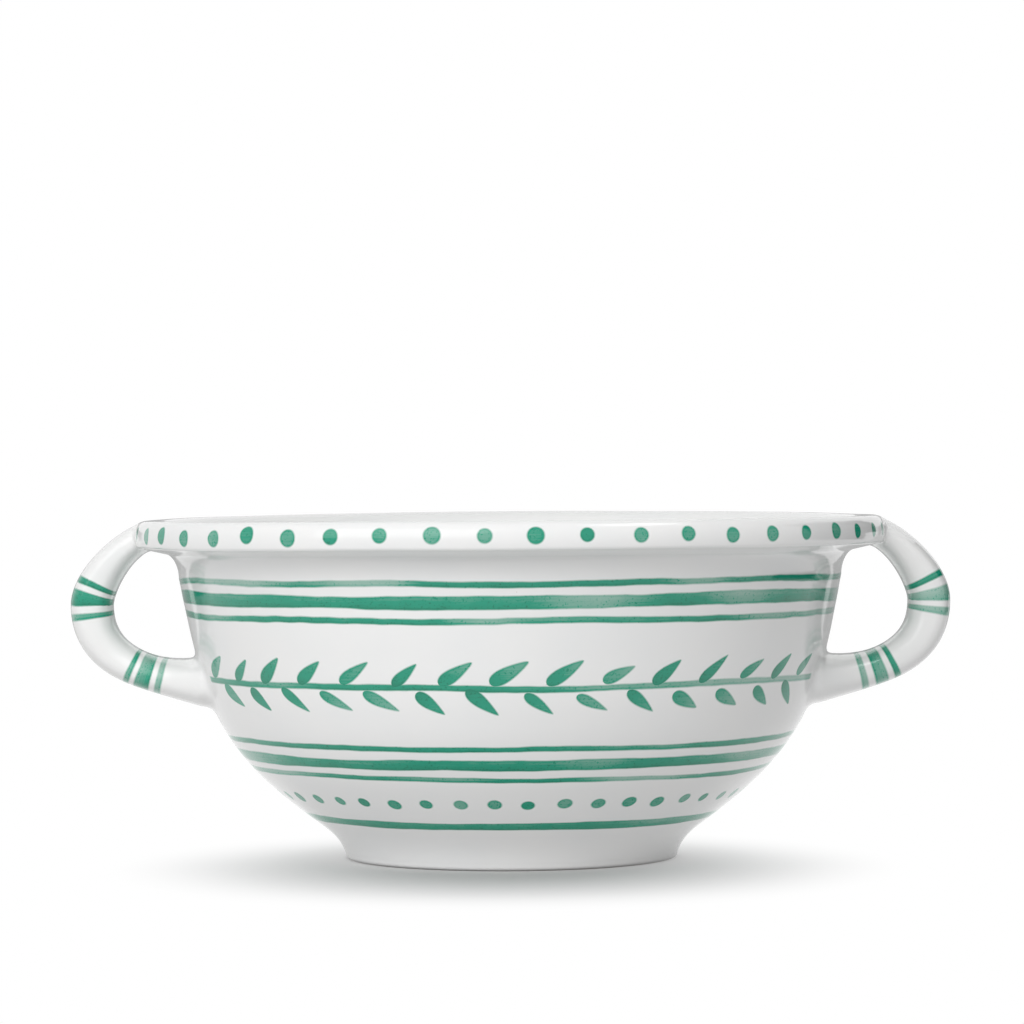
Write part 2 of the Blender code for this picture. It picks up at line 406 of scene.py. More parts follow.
class Signal:
    """A socket's value in a material, with the operators of plain numbers."""

    def __init__(self, bench: "NodeBench", socket: bpy.types.NodeSocket) -> None:
        """Keep the socket and the bench that its node stands on."""
        self.bench = bench
        self.socket = socket

    __add__ = math_method("ADD")
    __radd__ = math_method("ADD", reflected=True)
    __sub__ = math_method("SUBTRACT")
    __rsub__ = math_method("SUBTRACT", reflected=True)
    __mul__ = math_method("MULTIPLY")
    __rmul__ = math_method("MULTIPLY", reflected=True)
    __truediv__ = math_method("DIVIDE")
    __rtruediv__ = math_method("DIVIDE", reflected=True)
    __abs__ = math_method("ABSOLUTE")
    at_least = math_method("MAXIMUM")
    floor = math_method("FLOOR")
    root = math_method("SQRT")
    cosine = math_method("COSINE")
    sine = math_method("SINE")

    def between(self, low: "Value", high: "Value") -> "Signal":
        """Return a value that is low where this one is 0 and high where it is 1."""
        return low + self * (high - low)

    def ramp(self, low: float, high: float) -> "Signal":
        """Return an eased step.

        Args:
            low: The value up to which it is 0.
            high: The value from which it is 1.

        Returns:
            The step.
        """
        settings = {"interpolation_type": "SMOOTHSTEP"}
        inputs = {"Value": self, "From Min": low, "From Max": high}
        return self.bench.node("ShaderNodeMapRange", settings, inputs)["Result"]


Value = Signal | float


class NodeBench:
    """Adds the nodes of one material or world."""

    def __init__(self, tree: bpy.types.NodeTree) -> None:
        """Start from an empty node tree."""
        self.tree = tree
        tree.nodes.clear()

    def node(
        self, kind: str, settings: dict[str, object], inputs: dict[str | int, object]
    ) -> dict[str, Signal]:
        """Add a node.

        Args:
            kind: The node's type.
            settings: Its settings, which are set first.
            inputs: Values or links of its sockets, by number or by the name of one in use.

        Returns:
            Its outputs by name.
        """
        made = self.tree.nodes.new(kind)
        for name, setting in settings.items():
            setattr(made, name, setting)
        sockets = {socket.name: socket for socket in made.inputs if socket.enabled}
        sockets.update(enumerate(made.inputs))
        for name, value in inputs.items():
            if isinstance(value, Signal):
                self.tree.links.new(value.socket, sockets[name])
            else:
                sockets[name].default_value = value
        return {socket.name: Signal(self, socket) for socket in made.outputs if socket.enabled}

    def math(self, operation: str, *values: Value) -> Signal:
        """Return the result of a Math node on one or more values."""
        return self.node("ShaderNodeMath", {"operation": operation}, dict(enumerate(values)))["Value"]

    def length(self, place: Signal) -> Signal:
        """Return a place's distance from the middle."""
        return self.node("ShaderNodeVectorMath", {"operation": "LENGTH"}, {0: place})["Value"]

    def noise(
        self, place: Signal, grain: float, seed: Seed, detail: float = 2.0, own: float = 0.0
    ) -> Signal:
        """Return a smooth random value about 0.5.

        Args:
            place: The point.
            grain: Length over which it changes.
            seed: What the field is for.
            detail: Number of finer layers.
            own: A number that gives each of several like motifs its own field.

        Returns:
            The value, from about 0.2 to 0.8.
        """
        inputs = {"Vector": place, "W": seed.value + own, "Scale": 1.0 / grain, "Detail": detail}
        return self.node("ShaderNodeTexNoise", {"noise_dimensions": "4D"}, inputs)["Fac"]

    def chances(self, cell: Signal, own: float) -> tuple[Signal, Signal, Signal]:
        """Return three random values between 0 and 1 for a whole number.

        Args:
            cell: The whole number.
            own: A number that gives each row its own values.

        Returns:
            The three values.
        """
        drawn = self.node("ShaderNodeTexWhiteNoise", {"noise_dimensions": "1D"}, {"W": cell + own})
        parts = self.node("ShaderNodeSeparateColor", {}, {"Color": drawn["Color"]})
        return parts["Red"], parts["Green"], parts["Blue"]

    def blend(self, share: Signal, first: Signal | Triple, second: Signal | Triple) -> Signal:
        """Return a colour between two, the second one at share 1."""
        inputs = {"Factor": share, "A": self._opaque(first), "B": self._opaque(second)}
        return self.node("ShaderNodeMix", {"data_type": "RGBA"}, inputs)["Result"]

    def _opaque(self, colour: Signal | Triple) -> Signal | tuple[float, float, float, float]:
        """Return a plain colour with its fourth number, or a linked one as it is."""
        return colour if isinstance(colour, Signal) else (*colour, 1.0)

    def matt(self, colour: Triple) -> Signal:
        """Return a shader without gloss."""
        return self.node("ShaderNodeBsdfDiffuse", {}, {"Color": self._opaque(colour)})["BSDF"]

    def glow(self, strength: float) -> Signal:
        """Return a white shader that gives its own light."""
        return self.node("ShaderNodeEmission", {}, {"Strength": strength})["Emission"]

    def sky(self, strength: float) -> Signal:
        """Return an even white surrounding."""
        inputs = {"Color": (1.0, 1.0, 1.0, 1.0), "Strength": strength}
        return self.node("ShaderNodeBackground", {}, inputs)["Background"]

    def layer(self, share: Signal, first: Signal, second: Signal) -> Signal:
        """Return a shader between two, the second one at share 1."""
        return self.node("ShaderNodeMixShader", {}, {0: share, 1: first, 2: second})["Shader"]

    def layer_seen(self, unseen: Signal, seen: Signal) -> Signal:
        """Return a shader that differs for rays that show it to the eye, straight or mirrored.

        Args:
            unseen: What only lights other surfaces.
            seen: What the eye sees.

        Returns:
            The shader.
        """
        rays = self.node("ShaderNodeLightPath", {}, {})
        mirrored = rays["Is Glossy Ray"].at_least(rays["Is Transmission Ray"])
        return self.layer(rays["Is Camera Ray"].at_least(mirrored), unseen, seen)

    def output(self, surface: Signal, kind: str = "ShaderNodeOutputMaterial") -> None:
        """Join a shader to the output."""
        self.node(kind, {}, {"Surface": surface})


def new_material(name: str) -> tuple[bpy.types.Material, NodeBench]:
    """Start a material.

    Args:
        name: Its name.

    Returns:
        The material and the bench for its nodes.
    """
    material = bpy.data.materials.new(name)
    material.use_nodes = True
    return material, NodeBench(material.node_tree)


class Ground:
    """Where a point lies on a turned piece, for the glaze and the brush."""

    def __init__(self, bench: NodeBench) -> None:
        """Read the point's place, its run along the section and its share of the turn.

        Args:
            bench: The nodes of the piece's material.
        """
        self.bench = bench
        self.place = bench.node("ShaderNodeTexCoord", {}, {})["Object"]
        self.run = bench.node("ShaderNodeAttribute", {"attribute_name": RUN_ATTRIBUTE}, {})["Fac"]
        axes = bench.node("ShaderNodeSeparateXYZ", {}, {"Vector": self.place})
        self.x, self.y, self.z = axes.values()
        self.turn = self._turn()
        self.girth = self._girth()

    def _turn(self) -> Signal:
        """Return the share of the turn about the bowl's axis, from 0 to 1 at -X."""
        return self.bench.math("ARCTAN2", self.y, self.x) / math.tau + 0.5

    def _girth(self) -> Value:
        """Return the length of a whole turn."""
        return (self.x * self.x + self.y * self.y).root() * math.tau

    def along_stroke(self, across: float, along: float) -> Signal:
        """Return a place for a noise of grain 1, given its grains across and along the stroke."""
        inputs = {"X": self.turn * self.girth / along, "Y": self.run / across, "Z": self.z / along}
        return self.bench.node("ShaderNodeCombineXYZ", {}, inputs)["Vector"]


class StrapGround(Ground):
    """Where a point lies on a strap, across which the brush goes from one edge to the other."""

    WIDTH = 0.06

    def _turn(self) -> Signal:
        """Return the share of the way across the strap."""
        return self.y / self.WIDTH + 0.5

    def _girth(self) -> Value:
        """Return the length of the way across."""
        return self.WIDTH


@dataclass
class Coat:
    """What a finish gives the shader at each point."""

    colour: Signal
    roughness: Signal
    height: Signal

    IOR = 1.52

    def fire(self, bench: NodeBench) -> None:
        """Join the coat to a shader.

        Args:
            bench: The nodes of its material.
        """
        bump = {"Strength": 1.0, "Distance": 1.0, "Height": self.height}
        inputs = {
            "Base Color": self.colour,
            "Roughness": self.roughness,
            "Normal": bench.node("ShaderNodeBump", {}, bump)["Normal"],
            "IOR": self.IOR,
        }
        bench.output(bench.node("ShaderNodeBsdfPrincipled", {}, inputs)["BSDF"])


@dataclass(frozen=True)
class WhiteGlaze:
    """Glossy white tin glaze, a little uneven, with a few kiln specks."""

    colour: Triple = (0.862, 0.862, 0.856)
    thick_colour: Triple = (0.838, 0.846, 0.846)
    thick_cloud: Span = (0.30, 0.75)
    roughness: Span = (0.070, 0.120)
    rough_cloud: Span = (0.45, 0.80)
    cloud_grain: float = 0.030
    peel_grain: float = 0.0060
    peel_height: float = 0.000012
    speck_colour: Triple = (0.50, 0.47, 0.42)
    speck_spacing: float = 0.016
    speck_size: float = 0.00022
    speck_least: float = 0.002
    speck_edge: Span = (0.6, 1.0)
    speck_share: Span = (0.16, 0.17)

    def coat(self, ground: Ground) -> Coat:
        """Return the bare white glaze.

        Args:
            ground: Where each point lies.

        Returns:
            Its colour, roughness and height.
        """
        bench = ground.bench
        cloud = bench.noise(ground.place, self.cloud_grain, Seed.CLOUD, detail=3.0)
        peel = bench.noise(ground.place, self.peel_grain, Seed.PEEL, detail=1.0)
        colour = bench.blend(cloud.ramp(*self.thick_cloud), self.colour, self.thick_colour)
        return Coat(
            bench.blend(self._speck(ground), colour, self.speck_colour),
            cloud.ramp(*self.rough_cloud).between(*self.roughness),
            peel * self.peel_height,
        )

    def _speck(self, ground: Ground) -> Signal:
        """Find the few iron specks that firing brings out.

        Args:
            ground: Where each point lies.

        Returns:
            1 on a speck, else 0.
        """
        bench = ground.bench
        inputs = {"Vector": ground.place, "Scale": 1.0 / self.speck_spacing}
        cells = bench.node("ShaderNodeTexVoronoi", {}, inputs)
        chance = bench.node("ShaderNodeSeparateColor", {}, {"Color": cells["Color"]})
        size = chance["Green"] * (self.speck_size / self.speck_spacing) + self.speck_least
        near = 1.0 - (cells["Distance"] / size).ramp(*self.speck_edge)
        return near * (1.0 - chance["Red"].ramp(*self.speck_share))


@dataclass(frozen=True)
class Brush:
    """How a loaded brush lays its line."""

    feather: float = 0.00050
    pool: float = 0.16
    pool_width: float = 0.0011
    sway: float = 0.0013
    sway_grain: float = 0.070
    tremble: float = 0.00040
    tremble_grain: float = 0.011
    swell: float = 0.34
    swell_grain: float = 0.035
    full: float = 1.03
    thinned: float = 0.63
    thin_grain: float = 0.050
    thin_noise: Span = (0.46, 0.76)
    settle: float = 0.12

    def drift(self, ground: Ground, own: float) -> Signal:
        """Return how far a line strays from its true place.

        Args:
            ground: Where each point lies.
            own: The line's own number.

        Returns:
            The distance along the run.
        """
        bench = ground.bench
        slow = bench.noise(ground.place, self.sway_grain, Seed.SWAY, detail=0.0, own=own)
        quick = bench.noise(ground.place, self.tremble_grain, Seed.TREMBLE, detail=1.0, own=own)
        return slow.between(-self.sway, self.sway) + quick.between(-self.tremble, self.tremble)

    def width(self, ground: Ground, own: float) -> Signal:
        """Return the factor by which a line is wider or narrower."""
        change = ground.bench.noise(ground.place, self.swell_grain, Seed.SWELL, detail=1.0, own=own)
        return change.between(1.0 - self.swell, 1.0 + self.swell)

    def edge(self, inside: Signal) -> Signal:
        """Return the soft-edged cover at a depth inside the line, pooled along the edge."""
        pooled = inside.ramp(0.0, self.pool_width).between(1.0 + self.pool, 1.0)
        return inside.ramp(-self.feather, self.feather) * pooled

    def load(self, ground: Ground, own: float) -> Signal:
        """Return how thickly the brush lays its paint, thinner here and there along the line."""
        slow = ground.bench.noise(ground.place, self.thin_grain, Seed.LOAD, detail=0.0, own=own)
        return slow.ramp(*self.thin_noise).between(self.full, self.thinned)


@dataclass(frozen=True)
class Motif(ABC):
    """A painted mark, or a row of them, which may leave a gap at each handle."""

    run: float
    gap: float = field(default=0.0, kw_only=True)

    @abstractmethod
    def cover(self, ground: Ground, brush: Brush) -> Signal:
        """Return how much paint lies at each point, from 0 to 1.

        Args:
            ground: Where each point lies.
            brush: The brush that paints it.

        Returns:
            The cover.
        """

    @property
    def own(self) -> float:
        """Return the motif's own number, its run in millimetres."""
        return self.run * 1000.0

    def clear(self, turn: Signal, edge: float) -> Value:
        """Return 0 in the gaps at the handles and 1 elsewhere.

        Args:
            turn: Share of the turn.
            edge: Angle over which it rises at a gap's end.

        Returns:
            The eased step, or 1 where the motif has no gaps.
        """
        if self.gap == 0.0:
            return 1.0
        low, high = (1.0 - math.cos(angle) for angle in (self.gap, self.gap + edge))
        return (1.0 - abs((turn * math.tau).cosine())).ramp(low, high)


@dataclass(frozen=True)
class Band(Motif):
    """A line that the brush leaves while the piece turns."""

    stroke: Stroke

    GAP_EDGE = 0.03

    def cover(self, ground: Ground, brush: Brush) -> Signal:
        """Return the band's cover, thinner here and there.

        Args:
            ground: Where each point lies.
            brush: The brush that paints it.

        Returns:
            The cover.
        """
        off = ground.run + brush.drift(ground, self.own) - self.run
        half = brush.width(ground, self.own) * (self.stroke.value / 2)
        settled = 1.0 + brush.settle * (off / half)
        cover = brush.edge(half - abs(off)) * brush.load(ground, self.own) * settled
        return cover * self.clear(ground.turn, self.GAP_EDGE)


def band_trio(upper: float, middle: float, lower: float) -> list[Motif]:
    """Return a broad band between two fine ones, at their runs."""
    return [Band(upper, Stroke.FINE), Band(middle, Stroke.BROAD), Band(lower, Stroke.FINE)]


@dataclass(frozen=True)
class Spot:
    """Where a point lies from the middle of the mark in its cell, and that mark's chances."""

    aside: Signal
    ahead: Signal
    chances: tuple[Signal, Signal, Signal]
    clear: Value


@dataclass(frozen=True)
class MarkRow(Motif):
    """Like marks round the piece, one in each of its equal cells."""

    count: int

    GAP_EDGE = 0.01

    def spot(
        self, ground: Ground, own: float, strays: Span, shift: float = 0.0, lift: float = 0.0
    ) -> Spot:
        """Find each point's cell and the mark in it.

        Args:
            ground: Where each point lies.
            own: The row's own number.
            strays: How far a mark may lie from its place, round the piece and along the run.
            shift: Share of a cell by which the row is turned back.
            lift: How far past the motif's run the row lies.

        Returns:
            The point's place from the mark's middle, and the mark's chances.
        """
        count = float(self.count)
        cells = ground.turn * count + shift
        cell = cells.floor()
        chances = ground.bench.chances(cell, own)
        stray_aside, stray_ahead = (
            chance.between(-stray, stray) for chance, stray in zip(chances, strays)
        )
        return Spot(
            (cells - cell - 0.5) * ground.girth / count + stray_aside,
            ground.run - (self.run + lift) + stray_ahead,
            chances,
            self.clear((cell + (0.5 - shift)) / count, self.GAP_EDGE),
        )


@dataclass(frozen=True)
class DotRow(MarkRow):
    """Round dots that the brush's tip sets round the piece."""

    size: float
    strays: Span = (0.0007, 0.0007)
    sizes: Span = (0.86, 1.14)
    loads: Span = (0.84, 1.06)
    drift_share: float = 0.35

    def cover(self, ground: Ground, brush: Brush) -> Signal:
        """Return the dots' cover, each a little off its place and size.

        Args:
            ground: Where each point lies.
            brush: The brush that sets them.

        Returns:
            The cover.
        """
        spot = self.spot(ground, self.own, self.strays)
        first, _, third = spot.chances
        away = (spot.aside * spot.aside + spot.ahead * spot.ahead).root()
        rough = brush.drift(ground, self.own) * self.drift_share
        inside = third.between(*self.sizes) * self.size - away + rough
        return brush.edge(inside) * first.between(*self.loads) * spot.clear


@dataclass(frozen=True)
class LeafRow(MarkRow):
    """Slanting leaf-shaped dabs on both sides of a stem."""

    length: float
    width: float
    lift: float
    tilt: Span
    strays: Span = (0.0008, 0.0006)
    lengths: Span = (0.88, 1.12)
    widths: Span = (0.86, 1.14)
    loads: Span = (0.86, 1.06)
    belly: float = 0.82
    taper: float = 0.44
    thinned: float = 0.12
    drift_share: float = 0.3

    OWN_STEP = 17.0

    def cover(self, ground: Ground, brush: Brush) -> Signal:
        """Return the cover of the dabs above and below the stem."""
        above = self._dabs(ground, brush, -1.0)
        return above.at_least(self._dabs(ground, brush, 1.0))

    def _dabs(self, ground: Ground, brush: Brush, side: float) -> Signal:
        """Return the cover of the dabs on one side of the stem.

        Args:
            ground: Where each point lies.
            brush: The brush that sets them.
            side: -1 above the stem, 1 below it.

        Returns:
            The cover.
        """
        own = self.own + side * self.OWN_STEP
        shift = 0.5 if side > 0.0 else 0.0
        spot = self.spot(ground, own, self.strays, shift, side * self.lift)
        first, second, third = spot.chances
        slant = third.between(*self.tilt) * side
        cosine, sine = slant.cosine(), slant.sine()
        along = spot.aside * cosine + spot.ahead * sine
        across = spot.ahead * cosine - spot.aside * sine
        share = along * 2.0 / (second.between(*self.lengths) * self.length)
        oval = (1.0 - share * share).at_least(0.0).root() * (self.belly - self.taper * share)
        half = oval * first.between(*self.widths) * (self.width / 2)
        beyond = (share * share - 1.0).at_least(0.0) * (self.length / 4)
        inside = half - abs(across) - beyond + brush.drift(ground, own) * self.drift_share
        load = third.between(*self.loads) - self.thinned * share
        return brush.edge(inside) * load * spot.clear


@dataclass(frozen=True)
class GreenPaint:
    """Copper-green brushwork that has melted into the white glaze."""

    colour: Triple = (0.008, 0.312, 0.195)
    deep_colour: Triple = (0.002, 0.180, 0.104)
    deep_density: Span = (0.98, 1.36)
    brush: Brush = Brush()
    streak: float = 0.11
    streak_across: float = 0.0006
    streak_along: float = 0.020
    fleck: float = 0.26
    fleck_grain: float = 0.0008
    fleck_noise: Span = (0.58, 0.72)
    mottle: float = 0.11
    mottle_grain: float = 0.0090

    def over(self, coat: Coat, ground: Ground, motifs: Sequence[Motif]) -> Coat:
        """Return a coat with motifs painted on it.

        Args:
            coat: The glaze below.
            ground: Where each point lies.
            motifs: What is painted.

        Returns:
            The painted coat.
        """
        bench = ground.bench
        cover = motifs[0].cover(ground, self.brush)
        for motif in motifs[1:]:
            cover = cover.at_least(motif.cover(ground, self.brush))
        drawn_out = ground.along_stroke(self.streak_across, self.streak_along)
        streaks = bench.noise(drawn_out, 1.0, Seed.STREAK)
        flecks = bench.noise(ground.place, self.fleck_grain, Seed.FLECK, detail=1.0)
        mottles = bench.noise(ground.place, self.mottle_grain, Seed.MOTTLE)
        unevenness = (
            streaks.between(-self.streak, self.streak)
            + flecks.ramp(*self.fleck_noise) * self.fleck
            + mottles.between(-self.mottle, self.mottle)
        )
        density = cover * (1.0 + unevenness)
        paint = bench.blend(density.ramp(*self.deep_density), self.colour, self.deep_colour)
        return Coat(bench.blend(density, coat.colour, paint), coat.roughness, coat.height)


@dataclass(frozen=True)
class BareClay:
    """Unglazed clay where the glaze was wiped off the standing face."""

    colour: Triple = (0.70, 0.63, 0.53)
    dark_colour: Triple = (0.58, 0.50, 0.41)
    dark_grit: Span = (0.35, 0.70)
    roughness: float = 0.78
    wiped: Span = (0.0002, 0.0004)
    ragged: float = 0.0003
    ragged_grain: float = 0.006
    grain: float = 0.0009
    grit_height: float = 0.00006

    def under(self, coat: Coat, ground: Ground) -> Coat:
        """Return a glaze coat that stops short of the standing face.

        Args:
            coat: The glaze.
            ground: Where each point lies.

        Returns:
            The glaze above and bare clay below.
        """
        bench = ground.bench
        ragged = bench.noise(ground.place, self.ragged_grain, Seed.WIPE) * self.ragged
        bare = 1.0 - (ground.z + ragged).ramp(*self.wiped)
        grit = bench.noise(ground.place, self.grain, Seed.GRIT, detail=4.0)
        clay = bench.blend(grit.ramp(*self.dark_grit), self.colour, self.dark_colour)
        return Coat(
            bench.blend(bare, coat.colour, clay),
            bare.between(coat.roughness, self.roughness),
            coat.height + grit * bare * self.grit_height,
        )


@dataclass(frozen=True)
class Finishes:
    """Makes the materials of the bowl's pieces from one glaze, one green and one clay."""

    white: WhiteGlaze = WhiteGlaze()
    green: GreenPaint = GreenPaint()
    clay: BareClay = BareClay()

    def glazed(
        self,
        name: str,
        motifs: Sequence[Motif] = (),
        ground_kind: type[Ground] = Ground,
        wiped: bool = False,
    ) -> bpy.types.Material:
        """Return the white glaze, plain, painted or with a bare standing face.

        Args:
            name: The material's name.
            motifs: What is painted on it.
            ground_kind: Ground for a turned piece, StrapGround for a strap.
            wiped: True where the standing face is bare.

        Returns:
            The material.
        """
        material, bench = new_material(name)
        ground = ground_kind(bench)
        coat = self.white.coat(ground)
        if motifs:
            coat = self.green.over(coat, ground, motifs)
        if wiped:
            coat = self.clay.under(coat, ground)
        coat.fire(bench)
        return material


def seat(piece: bpy.types.Object, node: str, slot: Slot, material: bpy.types.Material) -> None:
    """Put a finished piece into the frame.

    Args:
        piece: The piece.
        node: The CAD node that it stands for.
        slot: The record's slot that its finish belongs to.
        material: Its finish.
    """
    piece.data.materials.clear()
    piece.data.materials.append(material)
    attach(piece, BODY)
    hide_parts(node)
    LOG.info("%s: %d faces, %s, for %s", piece.name, len(piece.data.polygons), slot.value, node)


@dataclass
class BowlBody:
    """The turned bowl: floor, wall and rolled rim in one piece of clay."""

    potter: Potter
    finishes: Finishes
    height: float
    rim_radius: float
    foot_height: float
    seat_radius: float
    rim_band: float = 0.0110
    rim_shoulder: float = 0.0046
    rim_round: float = 0.0037
    rim_lean: float = math.radians(14.0)
    rim_lead: float = 0.0049
    rim_draw: float = 0.0004
    rim_edge: float = 0.0019
    under_slope: float = math.radians(13.0)
    rim_overhang: float = 0.0163
    wall_top: float = 0.1205
    cove_width: float = 0.0052
    cove_height: float = 0.0107
    crown_inset: float = 0.0070
    wall: float = 0.0060
    wall_lean: float = math.radians(10.5)
    wall_lead: float = 0.0616
    belly_slope: float = math.radians(35.2)
    belly_lead: float = 0.0578
    floor: float = 0.0065
    floor_blend: float = 0.0080
    seat_lip: float = 0.0013
    ring_height: float = 0.00010
    ring_pitch: float = 0.0085
    trim_height: float = 0.00003
    trim_pitch: float = 0.013
    ridge_fade: float = 0.015
    ridge_grain: float = 0.02
    ridge_change: float = 0.5
    steps: int = 256

    ROUND = 0.5523
    EDGE_STEPS = 10
    NOSE_STEPS = 16
    COVE_STEPS = 14
    WALL_STEPS = 48
    LIP_STEPS = 16
    BLEND_STEPS = 12
    FLOOR_STEPS = 8
    UNDERSIDE_SHARES = (0.7, 0.35, 0.0)

    @classmethod
    def from_frame(cls, potter: Potter, finishes: Finishes) -> "BowlBody":
        """Take the main sizes from the CAD nodes' boxes."""
        (low, high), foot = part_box("bowl_body"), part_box("foot_ring")[1]
        return cls(potter, finishes, high.z, high.x, low.z, foot.x + cls.seat_lip)

    @property
    def crown(self) -> Vector:
        """Return the highest point of the section."""
        return Vector((self.rim_radius - self.crown_inset, self.height))

    def _wall_line(self) -> Section:
        """Return the wall's true outer face, from under the rim down to the foot seat.

        Returns:
            The points.
        """
        top = Vector((self.rim_radius - self.rim_overhang, self.wall_top))
        seat_edge = Vector((self.seat_radius, self.foot_height))
        down = heading(-math.pi / 2 - self.wall_lean) * self.wall_lead
        outward = heading(self.belly_slope) * self.belly_lead
        return bezier(top, down, outward, seat_edge, self.WALL_STEPS)

    def _ridges(self, height: float, pitch: float) -> Callable[[float], float]:
        """Return the small rings that fingers and tools leave on a wall.

        Args:
            height: How far they stand out.
            pitch: Distance from ring to ring.

        Returns:
            A function from the run along the wall to the distance from its true face.
        """
        total = run_lengths(self._wall_line())[-1]

        def ridge(run: float) -> float:
            """Return the ring's height at a run along the wall.

            Args:
                run: The run.

            Returns:
                The height, 0 at either end.
            """
            fade = eased(0.0, 1.0, min(run, total - run) / self.ridge_fade)
            change = noise.noise(Vector((run / self.ridge_grain, 0.0, pitch * 1000.0)))
            uneven = 1.0 + self.ridge_change * change
            return height * fade * uneven * math.sin(math.tau * run / pitch)

        return ridge

    def _rounded(self, start: Vector, corner: Vector, end: Vector, count: int) -> Section:
        """Return a quarter-oval from a start to an end, drawn towards the corner between them."""
        return bezier(start, (corner - start) * self.ROUND, (corner - end) * self.ROUND, end, count)

    def _rim_line(self, wall_top: Vector) -> Section:
        """Return the rim's outer face, from its crown round the nose and in to the wall.

        Args:
            wall_top: The point of the wall that the cove under the rim runs down to.

        Returns:
            The points, without the wall's own.
        """
        edge_radius = self.rim_radius - self.rim_draw - self.rim_edge * math.cos(self.rim_lean)
        edge = Vector((edge_radius, self.height - self.rim_band + self.rim_edge))
        last = self.under_slope - math.pi / 2
        turned_under = arc(edge, self.rim_edge, -self.rim_lean, last, self.EDGE_STEPS)
        shoulder = Vector((self.rim_radius - self.rim_shoulder, self.height))
        level = Vector((self.rim_round, 0.0))
        leaning = heading(math.pi / 2 - self.rim_lean) * self.rim_lead
        nose = bezier(shoulder, level, leaning, turned_under[0], self.NOSE_STEPS)
        drop = math.tan(self.under_slope)
        cove_radius = wall_top.x + self.cove_width
        cove = Vector((cove_radius, turned_under[-1].y - (turned_under[-1].x - cove_radius) * drop))
        corner = Vector((wall_top.x, cove.y - self.cove_width * drop))
        under = self._rounded(cove, corner, wall_top, self.COVE_STEPS)
        return [self.crown] + nose[:-1] + turned_under + under[:-1]

    def outside(self) -> Section:
        """Return the whole outer face, from the rim's crown down to the foot seat.

        Returns:
            The points.
        """
        wall = beside(self._wall_line(), self._ridges(self.trim_height, self.trim_pitch))
        cove_end = self.height - self.rim_band - self.cove_height
        wall = [point for point in wall if point.y < cove_end]
        return self._rim_line(wall[0]) + wall

    def inside(self) -> Section:
        """Return the inner face, from the middle of the floor up to the rim's crown.

        Returns:
            The points, without the crown.
        """
        floor_top = self.foot_height + self.floor
        ridge = self._ridges(self.ring_height, self.ring_pitch)
        wall = beside(self._wall_line(), lambda run: ridge(run) - self.wall)
        wall = [point for point in wall if point.y > floor_top + self.floor_blend]
        along = directions(wall)
        corner = wall[-1] + along[-1] * ((floor_top - wall[-1].y) / along[-1].y)
        floor_edge = corner - Vector(((corner - wall[-1]).length, 0.0))
        blend = self._rounded(wall[-1], corner, floor_edge, self.BLEND_STEPS)
        upward = along[0] * ((wall[0].y - self.crown.y) * self.ROUND)
        level = Vector(((wall[0].x - self.crown.x) * self.ROUND, 0.0))
        lip = bezier(wall[0], upward, level, self.crown, self.LIP_STEPS)
        floor_radii = [floor_edge.x * index / self.FLOOR_STEPS for index in range(self.FLOOR_STEPS)]
        floor = [Vector((radius, floor_top)) for radius in floor_radii]
        return floor + blend[::-1] + wall[-2:0:-1] + lip[:-1]

    def section(self) -> Section:
        """Return the whole section, up the inside, over the rim and down to the underside."""
        radii = [self.seat_radius * share for share in self.UNDERSIDE_SHARES]
        return self.inside() + self.outside() + [Vector((radius, self.foot_height)) for radius in radii]

    def run_at(self, height: float, face: Face) -> float:
        """Return the run along the section where a face is at a height.

        Args:
            height: The height.
            face: The face.

        Returns:
            The run from the middle of the floor.
        """
        section = self.section()
        runs = run_lengths(section)
        split = len(self.inside())
        stretch = range(split - 1) if face is Face.INSIDE else range(split, len(section) - 1)
        for index in stretch:
            here, there = section[index].y, section[index + 1].y
            if here != there and min(here, there) <= height <= max(here, there):
                share = (height - here) / (there - here)
                return runs[index] + share * (runs[index + 1] - runs[index])
        raise ValueError(f"the bowl's {face.value} has no height {height:.4f}")

    def _motifs(self) -> list[Motif]:
        """Return what is painted on the bowl, from the rim down, then inside it.

        Returns:
            The motifs.
        """
        outer = partial(self.run_at, face=Face.OUTSIDE)
        inner = partial(self.run_at, face=Face.INSIDE)
        frieze = outer(0.0735)
        leaning = (math.radians(24.0), math.radians(42.0))
        return [
            DotRow(outer(0.1312), 48, 0.0030, gap=0.150),
            *band_trio(outer(0.1130), outer(0.1060), outer(0.0990)),
            LeafRow(frieze, 38, length=0.0150, width=0.0056, lift=0.0058, tilt=leaning, gap=0.330),
            Band(frieze, Stroke.FINE, gap=0.290),
            *band_trio(outer(0.0500), outer(0.0437), outer(0.0377)),
            DotRow(outer(0.0275), 44, 0.0026),
            Band(outer(0.0185), Stroke.BROAD),
            Band(inner(0.1305), Stroke.FINE),
            Band(inner(0.1235), Stroke.BROAD),
            Band(0.0540, Stroke.FINE),
            Band(0.0470, Stroke.BROAD),
            DotRow(0.0360, 22, 0.0026),
        ]

    def build(self) -> None:
        """Throw the bowl and glaze it."""
        piece = self.potter.throw("thrown_bowl", self.section(), self.steps, ring=False)
        material = self.finishes.glazed("painted_bowl_glaze", self._motifs())
        seat(piece, "bowl_body", Slot.WHITE_GLAZE, material)


